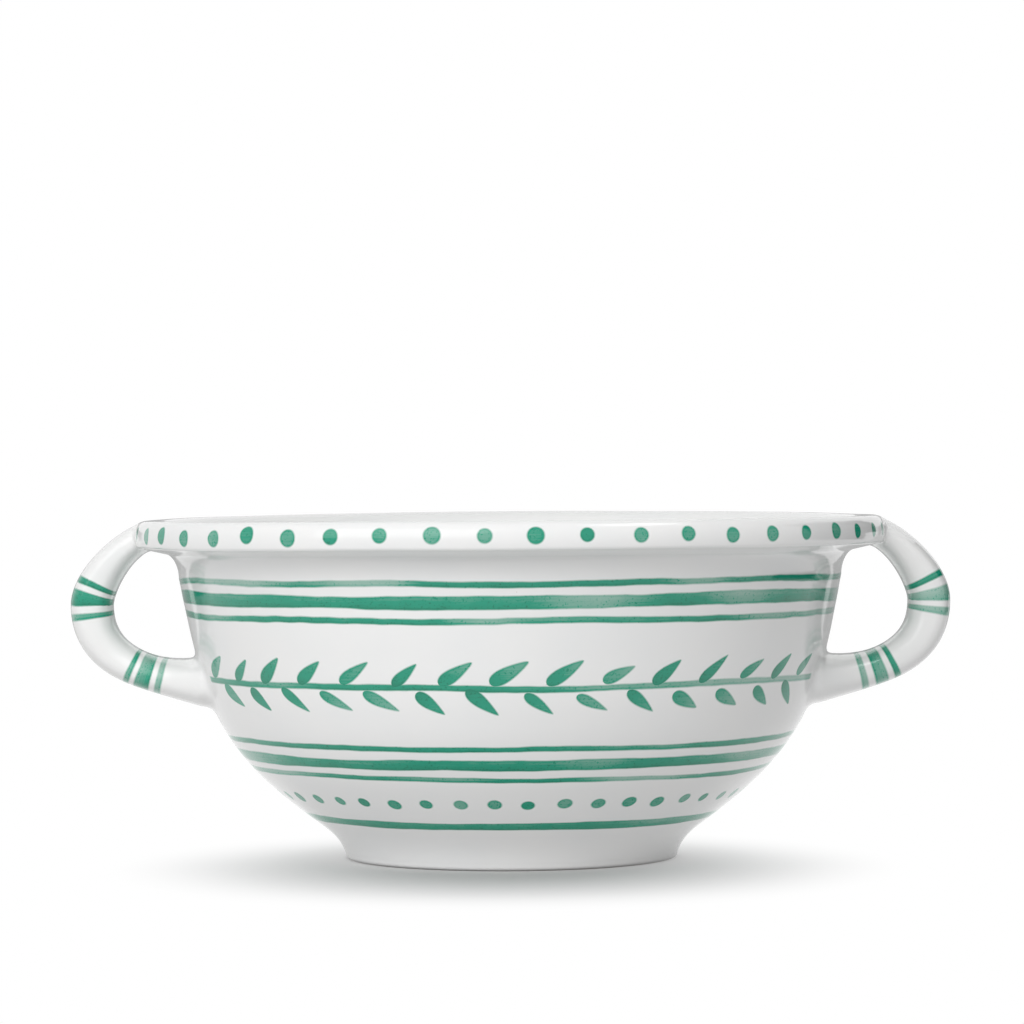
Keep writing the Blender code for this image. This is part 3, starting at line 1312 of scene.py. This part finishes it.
@dataclass
class FootRing:
    """The ring that the bowl stands on, and the slip that fills the corner above it."""

    potter: Potter
    finishes: Finishes
    bowl: BowlBody
    radius: float
    taper: float = 0.0036
    ring_width: float = 0.0110
    edge: float = 0.0018
    waist: float = 0.0004
    sink: float = 0.0002
    fillet: float = 0.0100
    fillet_lead: float = 0.0065
    hollow_fillet: float = 0.0026
    hollow_lead: float = 0.00182
    steps: int = 256

    SIDE_STEPS = 10
    EDGE_STEPS = 8
    FILLET_STEPS = 16
    HOLLOW_STEPS = 8

    @classmethod
    def from_frame(cls, potter: Potter, finishes: Finishes, bowl: BowlBody) -> "FootRing":
        """Take the ring's radius from its CAD node's box."""
        return cls(potter, finishes, bowl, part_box("foot_ring")[1].x)

    @property
    def inner_radius(self) -> float:
        """Return the radius of the hollow inside the ring."""
        return self.radius - self.taper - self.ring_width

    def _outer_side(self) -> Section:
        """Return the ring's outer side, from the bowl down to the rounded edge.

        Returns:
            The points.
        """
        top = Vector((self.radius, self.bowl.foot_height + self.sink))
        bottom = Vector((self.radius - self.taper, self.edge))
        inward = Vector((-self.waist, 0.0))
        third = (bottom - top) / 3
        return bezier(top, third + inward, inward - third, bottom, self.SIDE_STEPS)

    def _ring_section(self) -> Section:
        """Return the ring's closed section, down its outer side first.

        Returns:
            The points.
        """
        outer_edge = Vector((self.radius - self.taper - self.edge, self.edge))
        inner_edge = Vector((self.inner_radius + self.edge, self.edge))
        down = -math.pi / 2
        return (
            self._outer_side()[:-1]
            + arc(outer_edge, self.edge, 0.0, down, self.EDGE_STEPS)
            + arc(inner_edge, self.edge, down, -math.pi, self.EDGE_STEPS)
            + [Vector((self.inner_radius, self.bowl.foot_height + self.sink))]
        )

    def _slip_section(self) -> Section:
        """Return the slip's closed section: a fillet outside and one in the hollow.

        Returns:
            The points.
        """
        seat_height = self.bowl.foot_height
        wall = self.bowl.outside()[::-1]
        start = next(index for index, run in enumerate(run_lengths(wall)) if run >= self.fillet)
        down_wall = directions(wall)[start] * -self.fillet_lead
        before, on_foot = self._outer_side()[-3:-1]
        up_foot = (before - on_foot).normalized() * self.fillet_lead
        outer = bezier(wall[start], down_wall, up_foot, on_foot, self.FILLET_STEPS)
        ceiling_radius = self.inner_radius - self.hollow_fillet
        in_hollow = Vector((self.inner_radius, seat_height - self.hollow_fillet))
        on_ceiling = Vector((ceiling_radius, seat_height))
        up, outward = Vector((0.0, self.hollow_lead)), Vector((self.hollow_lead, 0.0))
        inner = bezier(in_hollow, up, outward, on_ceiling, self.HOLLOW_STEPS)
        bedded_radii = (ceiling_radius, self.bowl.seat_radius - self.hollow_fillet)
        return outer + inner + [Vector((radius, seat_height + self.sink)) for radius in bedded_radii]

    def build(self) -> None:
        """Turn the ring and its slip and glaze them."""
        ring = self.potter.throw("turned_foot", self._ring_section(), self.steps, ring=True)
        seat(ring, "foot_ring", Slot.FOOT_GLAZE, self.finishes.glazed("wiped_foot_glaze", wiped=True))
        slip = self.potter.throw("foot_fillet", self._slip_section(), self.steps, ring=True)
        seat(slip, "foot_slip", Slot.RAW_SLIP, self.finishes.glazed("foot_fillet_glaze"))


class OuterFace:
    """The bowl's outer face, as seen by the pieces that are luted to it."""

    TOUCHING = 0.0001

    def __init__(self, line: Section) -> None:
        """Keep the face's section as short straight stretches."""
        self.stretches = [(start, end - start) for start, end in zip(line, line[1:]) if end != start]

    def nearest(self, place: Vector) -> tuple[float, Vector]:
        """Return how far outside the face a point is, and which way is out.

        Args:
            place: The point.

        Returns:
            The distance, below 0 inside the clay, and the unit vector away from the face.
        """
        radius = math.hypot(place.x, place.y)
        point = Vector((radius, place.z))
        best = math.inf
        for start, step in self.stretches:
            share = min(max((point - start).dot(step) / step.length_squared, 0.0), 1.0)
            gap = point - start - step * share
            if gap.length < best:
                best = gap.length
                out = Vector((-step.y, step.x)).normalized()
                distance = math.copysign(gap.length, gap.dot(out))
                normal = gap / distance if abs(distance) > self.TOUCHING else out
        return distance, Vector((normal.x * place.x / radius, normal.x * place.y / radius, normal.y))


@dataclass(frozen=True)
class Joint:
    """One end of a strap: its fillet's size, a run inside the bowl and one well outside it."""

    fillet: float
    sunk: float
    clear: float


@dataclass
class StrapHandle:
    """A pulled strap from the rim to the wall, with the slip that fillets its two ends."""

    potter: Potter
    finishes: Finishes
    bowl: BowlBody
    face: OuterFace
    side: Side
    outermost: float
    grip_drop: float = 0.0340
    root_drop: float = 0.0653
    rim_sink: float = 0.0010
    rim_embed: float = 0.0040
    rim_slope: float = math.radians(21.5)
    rim_lead: float = 0.0122
    grip_upper_lead: float = 0.0080
    grip_lower_lead: float = 0.0253
    root_slope: float = math.radians(1.5)
    root_lead: float = 0.0260
    wall_embed: float = 0.0075
    neck_distance: float = 0.0216
    thicknesses: tuple[float, float, float, float] = (0.0119, 0.0167, 0.0142, 0.0201)
    widths: tuple[float, float, float, float] = (0.0330, 0.0270, 0.0280, 0.0600)
    swell_run: float = 0.0250
    spread_run: float = 0.0420
    squareness: float = 2.6
    reach_out: float = 0.0006
    rim_taper: float = 0.8
    rim_joint: Joint = Joint(fillet=0.0022, sunk=-0.0042, clear=0.0170)
    wall_fillet: float = 0.0045
    wall_search: float = 0.0240
    feather: float = 0.0008
    feather_depth: float = 0.00008
    line_runs: Span = (0.0340, 0.0740)
    line_spacing: float = 0.0062
    columns: int = 72
    span_rows: int = 64
    fillet_rows: int = 10

    SPAN_STEPS = 40
    SEARCH_STEPS = 26
    SETTLE_STEPS = 3
    FILLET_LEAD = 0.25
    FEATHERED = 2.0

    @classmethod
    def from_frame(
        cls, potter: Potter, finishes: Finishes, bowl: BowlBody, face: OuterFace, side: Side
    ) -> "StrapHandle":
        """Take the handle's reach from its CAD node's box."""
        low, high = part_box(f"{side.label}_handle")
        return cls(potter, finishes, bowl, face, side, max(abs(low.x), abs(high.x)))

    @cached_property
    def midline(self) -> Section:
        """Lay out the strap's middle line, over the grip's outermost point.

        Returns:
            Its points, from inside the rim to inside the wall.
        """
        bowl, steps = self.bowl, self.SPAN_STEPS
        middle = bowl.height - bowl.rim_band / 2
        rim_end = Vector((bowl.rim_radius - self.rim_embed, middle - self.rim_sink))
        grip_radius = self.outermost + self.reach_out - self.thicknesses[1] / 2
        grip = Vector((grip_radius, bowl.height - self.grip_drop))
        from_rim, from_wall = heading(-self.rim_slope), heading(self.root_slope)
        wall_end = self._wall_point(bowl.height - self.root_drop) - from_wall * self.wall_embed
        up = Vector((0.0, 1.0))
        upper = bezier(rim_end, from_rim * self.rim_lead, up * self.grip_upper_lead, grip, steps)
        lower = bezier(grip, -up * self.grip_lower_lead, from_wall * self.root_lead, wall_end, steps)
        return upper + lower[1:]

    @cached_property
    def along(self) -> list[Vector]:
        """Return the middle line's direction at each of its points."""
        return directions(self.midline)

    @cached_property
    def runs(self) -> list[float]:
        """Return the run along the middle line at each of its points."""
        return run_lengths(self.midline)

    @property
    def length(self) -> float:
        """Return the middle line's length."""
        return self.runs[-1]

    @property
    def wall_joint(self) -> Joint:
        """Return the strap's lower end."""
        return Joint(self.wall_fillet, self.length, self.length - self.wall_search)

    def _wall_point(self, height: float) -> Vector:
        """Return the point of the bowl's outer wall at a height.

        Args:
            height: The height.

        Returns:
            The point as (radius, height).
        """
        line = self.bowl.outside()[::-1]
        for lower, upper in zip(line, line[1:]):
            if lower.y <= height <= upper.y:
                return lower.lerp(upper, (height - lower.y) / (upper.y - lower.y))
        raise ValueError("the handle's lower end misses the wall")

    def _station(self, run: float) -> tuple[Vector, Vector]:
        """Return the middle line's point and direction at a run.

        Args:
            run: The run, which may lie a little before the start.

        Returns:
            The point and the unit direction.
        """
        if run <= 0.0:
            return self.midline[0] + self.along[0] * run, self.along[0]
        for index in range(len(self.runs) - 1):
            if run <= self.runs[index + 1]:
                share = (run - self.runs[index]) / (self.runs[index + 1] - self.runs[index])
                centre = self.midline[index].lerp(self.midline[index + 1], share)
                return centre, self.along[index].lerp(self.along[index + 1], share).normalized()
        return self.midline[-1] + self.along[-1] * (run - self.length), self.along[-1]

    def _size(self, sizes: tuple[float, float, float, float], run: float, flare_run: float) -> float:
        """Return one size of the strap at a run.

        Args:
            sizes: Its values at the rim, the grip, the neck and the root.
            run: The run.
            flare_run: Length over which it flares towards the root.

        Returns:
            The size.
        """
        at_rim, at_grip, at_neck, at_root = sizes
        grip_run = self.runs[self.SPAN_STEPS]
        if run < 0.0:
            return at_rim + run * self.rim_taper
        if run < grip_run:
            return eased(at_rim, at_grip, run / grip_run)
        root_run = self.length - self.wall_embed
        neck_run = root_run - self.neck_distance
        flare = min(max(1.0 - (root_run - run) / flare_run, 0.0), 1.0)
        strap = eased(at_grip, at_neck, (run - grip_run) / (neck_run - grip_run))
        return strap + (at_root - at_neck) * flare * flare

    def _skin(self, run: float, turn: float) -> tuple[Vector, Vector]:
        """Return a point of the strap's surface and its outward direction across the strap.

        Args:
            run: The run along the strap.
            turn: The angle round its section, 0 on the outer side.

        Returns:
            The point and the unit direction.
        """
        centre, along = self._station(run)
        thickness = self._size(self.thicknesses, run, self.swell_run)
        width = self._size(self.widths, run, self.spread_run)
        across = Vector((-along.y, along.x))
        cosine, sine = math.cos(turn), math.sin(turn)
        power = 2.0 / self.squareness
        place = centre + across * (signed_power(cosine, power) * thickness / 2)
        aside = signed_power(sine, power) * width / 2
        rise_out = signed_power(cosine, 2.0 - power) / thickness
        aside_out = signed_power(sine, 2.0 - power) / width
        out = Vector((across.x * rise_out, aside_out, across.y * rise_out)).normalized()
        return Vector((place.x, aside, place.y)), out

    def _run_off_face(self, turn: float, distance: float, joint: Joint) -> float:
        """Return the run at which a line along the strap is at a distance from the bowl.

        Args:
            turn: The line's angle round the section.
            distance: The distance from the bowl's outer face.
            joint: The end of the strap.

        Returns:
            The run.
        """
        sunk, clear = joint.sunk, joint.clear
        for _ in range(self.SEARCH_STEPS):
            middle = (sunk + clear) / 2
            if self.face.nearest(self._skin(middle, turn)[0])[0] < distance:
                sunk = middle
            else:
                clear = middle
        return (sunk + clear) / 2

    def _settled(self, place: Vector, distance: float) -> Vector:
        """Return a point moved straight off the bowl until it is at a distance from it.

        Args:
            place: The point.
            distance: The distance, below 0 inside the clay.

        Returns:
            The moved point.
        """
        for _ in range(self.SETTLE_STEPS):
            found, out = self.face.nearest(place)
            place = place + out * (distance - found)
        return place

    def _fillet_point(self, turn: float, share: float, joint: Joint) -> Vector:
        """Return a point of the slip's fillet between strap and bowl.

        Args:
            turn: The angle round the strap's section.
            share: 0 on the strap, 1 on the bowl, FEATHERED for the feathered edge.
            joint: The end of the strap.

        Returns:
            The point.
        """
        t = min(share, 1.0)
        u = 1.0 - t
        distance = joint.fillet * (u**3 + 3 * u * u * t * self.FILLET_LEAD)
        spread = joint.fillet * (3 * u * t * t * self.FILLET_LEAD + t**3)
        place, out = self._skin(self._run_off_face(turn, distance, joint), turn)
        normal = self.face.nearest(place)[1]
        aside = (out - normal * out.dot(normal)).normalized()
        if share == self.FEATHERED:
            return self._settled(place + aside * (spread + self.feather), -self.feather_depth)
        return self._settled(place + aside * spread, distance)

    def _column(self, turn: float) -> tuple[Section, list[float]]:
        """Return one line of points along the strap, from the rim's fillet to the wall's.

        Args:
            turn: The line's angle round the section.

        Returns:
            The points and their runs.
        """
        joints = (self.rim_joint, self.wall_joint)
        shares = [index / self.fillet_rows for index in range(self.fillet_rows + 1)] + [self.FEATHERED]
        at_rim, at_wall = (
            [self._fillet_point(turn, share, joint) for share in shares] for joint in joints
        )
        first, last = (self._run_off_face(turn, joint.fillet, joint) for joint in joints)
        span = [first + (last - first) * index / self.span_rows for index in range(self.span_rows + 1)]
        points = at_rim[::-1] + [self._skin(run, turn)[0] for run in span[1:-1]] + at_wall
        ends = self.fillet_rows + 1
        return points, [first] * ends + span + [last] * ends

    def _grid(self) -> StrapGrid:
        """Return all rings of the handle and its fillets, turned to the handle's side.

        Returns:
            The rings.
        """
        columns = [self._column(math.tau * index / self.columns) for index in range(self.columns)]
        turn = Matrix.Rotation(self.side.value, 3, "Z")
        wobble = self.potter.wobble
        lines = [[wobble.at(turn @ place) for place in points] for points, _ in columns]
        rows = [list(ring) for ring in zip(*lines)]
        runs = [list(ring) for ring in zip(*(runs for _, runs in columns))]
        return StrapGrid(rows, self._normals(rows), runs)

    def _normals(self, rows: list[Section]) -> list[Section]:
        """Return the outward normal at each point of the rings.

        Args:
            rows: The rings.

        Returns:
            One ring of unit vectors for each.
        """
        normals = []
        for level, ring in enumerate(rows):
            before = rows[max(level - 1, 0)]
            after = rows[min(level + 1, len(rows) - 1)]
            found = []
            for column in range(self.columns):
                along = after[column] - before[column]
                around = ring[(column + 1) % self.columns] - ring[column - 1]
                found.append(around.cross(along).normalized())
            normals.append(found)
        middle = len(rows) // 2
        centre = sum(rows[middle], Vector()) / self.columns
        if normals[middle][0].dot(rows[middle][0] - centre) < 0.0:
            normals = [[-normal for normal in ring] for ring in normals]
        return normals

    def _motifs(self) -> list[Motif]:
        """Return the groups of lines that are painted across the strap."""
        step = self.line_spacing
        return [line for run in self.line_runs for line in band_trio(run - step, run, run + step)]

    def build(self) -> None:
        """Pull the strap, fillet its two ends and glaze them."""
        label = self.side.label
        grid = self._grid()
        end = len(grid.rows) - 1
        rim_end = self.fillet_rows + 1
        wall_end = end - rim_end
        strap = self.potter.pull(f"{label}_strap", grid.part(rim_end, wall_end))
        painted = self.finishes.glazed(f"{label}_strap_glaze", self._motifs(), StrapGround)
        seat(strap, f"{label}_handle", Slot.WHITE_GLAZE, painted)
        plain = self.finishes.glazed(f"{label}_fillet_glaze")
        for place, first, last in (("rim", 0, rim_end), ("wall", wall_end, end)):
            fillet = self.potter.pull(f"{label}_{place}_fillet", grid.part(first, last))
            seat(fillet, f"{label}_{place}_slip", Slot.RAW_SLIP, plain)


@dataclass(frozen=True)
class Softbox:
    """A rectangular studio lamp that faces the bowl."""

    name: str
    place: Triple
    width: float
    height: float
    power: float
    reach: Reach = Reach.BOWL
    mirrored: bool = True

    AIM = (0.0, 0.0, 0.07)

    def hang(self, floor: bpy.types.Object) -> None:
        """Add the lamp to the scene.

        Args:
            floor: The studio floor, which flags part from the bowl's light.
        """
        lamp = bpy.data.lights.new(self.name, "AREA")
        lamp.shape = "RECTANGLE"
        lamp.size = self.width
        lamp.size_y = self.height
        lamp.energy = self.power
        holder = bpy.data.objects.new(self.name, lamp)
        holder.location = self.place
        holder.visible_camera = False
        holder.visible_glossy = self.mirrored
        aim = Vector(self.AIM) - Vector(self.place)
        holder.rotation_euler = aim.to_track_quat("-Z", "Y").to_euler()
        bpy.context.scene.collection.objects.link(holder)
        flagged = bpy.data.collections.new(f"{self.name}_flag")
        flagged.objects.link(floor)
        flagged.collection_objects[0].light_linking.link_state = self.reach.value
        holder.light_linking.receiver_collection = flagged
        LOG.info("%s: %.1f W", self.name, self.power)


@dataclass(frozen=True)
class GreyCard:
    """A grey upright card out of the picture, which the glaze mirrors along the bowl's edges."""

    name: str
    place: Triple
    width: float
    height: float
    turn: float
    brightness: float
    shades: bool = False

    def stand(self) -> None:
        """Add the card to the scene."""
        plane = bpy.ops.mesh.primitive_plane_add
        upright = (math.pi / 2, 0.0, self.turn)
        card = started(self.name, plane, size=1.0, location=self.place, rotation=upright)
        card.scale = (self.width, self.height, 1.0)
        card.visible_camera = False
        card.visible_diffuse = self.shades
        card.visible_shadow = False
        material, bench = new_material(self.name)
        bench.output(bench.glow(self.brightness))
        card.data.materials.append(material)


@dataclass
class Studio:
    """The camera, the white floor, the surrounding light, the lamps and the cards."""

    camera_place: Triple = (0.001, -1.8, 0.160)
    lens: float = 158.0
    sensor: float = 36.0
    pitch: float = math.radians(0.7013)
    roll: float = math.radians(0.33)
    floor_size: float = 14.0
    # Painted shade: the near-black colour that other surfaces see on the floor round the foot, in place
    # of the foot's shadow.
    floor_underneath: Triple = (0.04, 0.04, 0.04)
    floor_shadowed: Triple = (0.85, 0.85, 0.85)
    floor_bounce: float = 0.58
    # Radii over which the painted shade round the foot gives way to the floor's bounce glow.
    bounce_edge: Span = (0.062, 0.075)
    # Painted white: the stretch, shift and radii of the ring where the shown shadow fades into white
    # glow.
    shadow_stretch: Triple = (1.13, 1.0, 1.0)
    shadow_shift: Triple = (0.003, 0.044, 0.0)
    shadow_edge: Span = (0.02, 0.18)
    ambient: float = 0.285
    lamps: tuple[Softbox, ...] = (
        Softbox("key_softbox", (-1.69, -2.41, 1.56), 3.1, 2.4, 32.0),
        Softbox("front_softbox", (-0.80, -2.96, 1.30), 3.1, 2.3, 34.0, mirrored=False),
        Softbox("upper_softbox", (-0.63, -2.37, 2.28), 3.0, 2.2, 21.5, mirrored=False),
        Softbox("right_softbox", (0.90, -0.52, 2.01), 0.9, 0.7, 6.2),
        Softbox("right_back_softbox", (1.31, 1.51, 0.90), 1.0, 1.2, 4.0, mirrored=False),
        Softbox("left_back_softbox", (-1.31, 1.51, 0.90), 1.0, 1.2, 4.0, mirrored=False),
        Softbox("floor_softbox", (0.0, 0.58, 1.50), 1.2, 1.2, 22.5, reach=Reach.FLOOR),
    )
    cards: tuple[GreyCard, ...] = (
        GreyCard("back_card", (0.0, 0.60, 0.09), 0.95, 0.18, 0.0, 0.45),
        GreyCard("right_card", (0.75, 0.345, 0.30), 0.59, 0.60, math.pi / 2, 0.02, shades=True),
        GreyCard("raised_card", (0.75, 0.83, 0.365), 0.38, 0.47, math.pi / 2, 0.02, shades=True),
    )

    WHITE = 1.0

    def _camera(self) -> None:
        """Set up the camera at the viewer's place."""
        camera = bpy.data.cameras.new("camera")
        camera.lens = self.lens
        camera.sensor_width = self.sensor
        holder = bpy.data.objects.new("camera", camera)
        holder.location = self.camera_place
        holder.rotation_euler = (math.pi / 2 - self.pitch, self.roll, 0.0)
        bpy.context.scene.collection.objects.link(holder)
        bpy.context.scene.camera = holder

    def _floor(self) -> bpy.types.Object:
        """Lay a white floor that shows the bowl's shadow near it, with painted shade round the foot and
        painted white where the shadow fades out.

        Returns:
            The floor.
        """
        floor = started("studio_floor", bpy.ops.mesh.primitive_plane_add, size=self.floor_size)
        material, bench = new_material("studio_floor")
        place = bench.node("ShaderNodeTexCoord", {}, {})["Object"]
        # The eye sees the real shadow near the bowl. Past shadow_edge, measured from a stretched and
        # shifted centre, painted white glow covers it, which sets the shadow's outer shape.
        inputs = {0: place, 1: self.shadow_stretch, 2: self.shadow_shift}
        drawn_in = bench.node("ShaderNodeVectorMath", {"operation": "MULTIPLY_ADD"}, inputs)["Vector"]
        # Painted shade: inside bounce_edge other surfaces see a dark floor in place of the shadow round
        # the foot; outside it, the floor glows as bounce light.
        clear = bench.length(place).ramp(*self.bounce_edge)
        far = bench.length(drawn_in).ramp(*self.shadow_edge)
        bounced = bench.layer(clear, bench.matt(self.floor_underneath), bench.glow(self.floor_bounce))
        shown = bench.layer(far, bench.matt(self.floor_shadowed), bench.glow(self.WHITE))
        bench.output(bench.layer_seen(bounced, shown))
        floor.data.materials.append(material)
        return floor

    def _surroundings(self) -> None:
        """Light the scene evenly from all round, white where the eye sees it."""
        world = bpy.data.worlds.new("studio")
        world.use_nodes = True
        bench = NodeBench(world.node_tree)
        surface = bench.layer_seen(bench.sky(self.ambient), bench.sky(self.WHITE))
        bench.output(surface, "ShaderNodeOutputWorld")
        bpy.context.scene.world = world

    def build(self) -> None:
        """Set up the whole studio."""
        bpy.context.scene.view_settings.view_transform = "Standard"
        self._camera()
        self._surroundings()
        floor = self._floor()
        for lamp in self.lamps:
            lamp.hang(floor)
        for card in self.cards:
            card.stand()


def main() -> None:
    """Build the bowl, its foot, its handles and the studio, in that order."""
    logging.basicConfig(level=logging.INFO, format="%(name)s: %(message)s")
    noise.seed_set(WOBBLE_SEED)
    potter = Potter(HandWobble.from_frame())
    finishes = Finishes()
    bowl = BowlBody.from_frame(potter, finishes)
    bowl.build()
    FootRing.from_frame(potter, finishes, bowl).build()
    face = OuterFace(bowl.outside())
    for side in Side:
        StrapHandle.from_frame(potter, finishes, bowl, face, side).build()
    Studio().build()


if __name__ == "__main__":
    main()
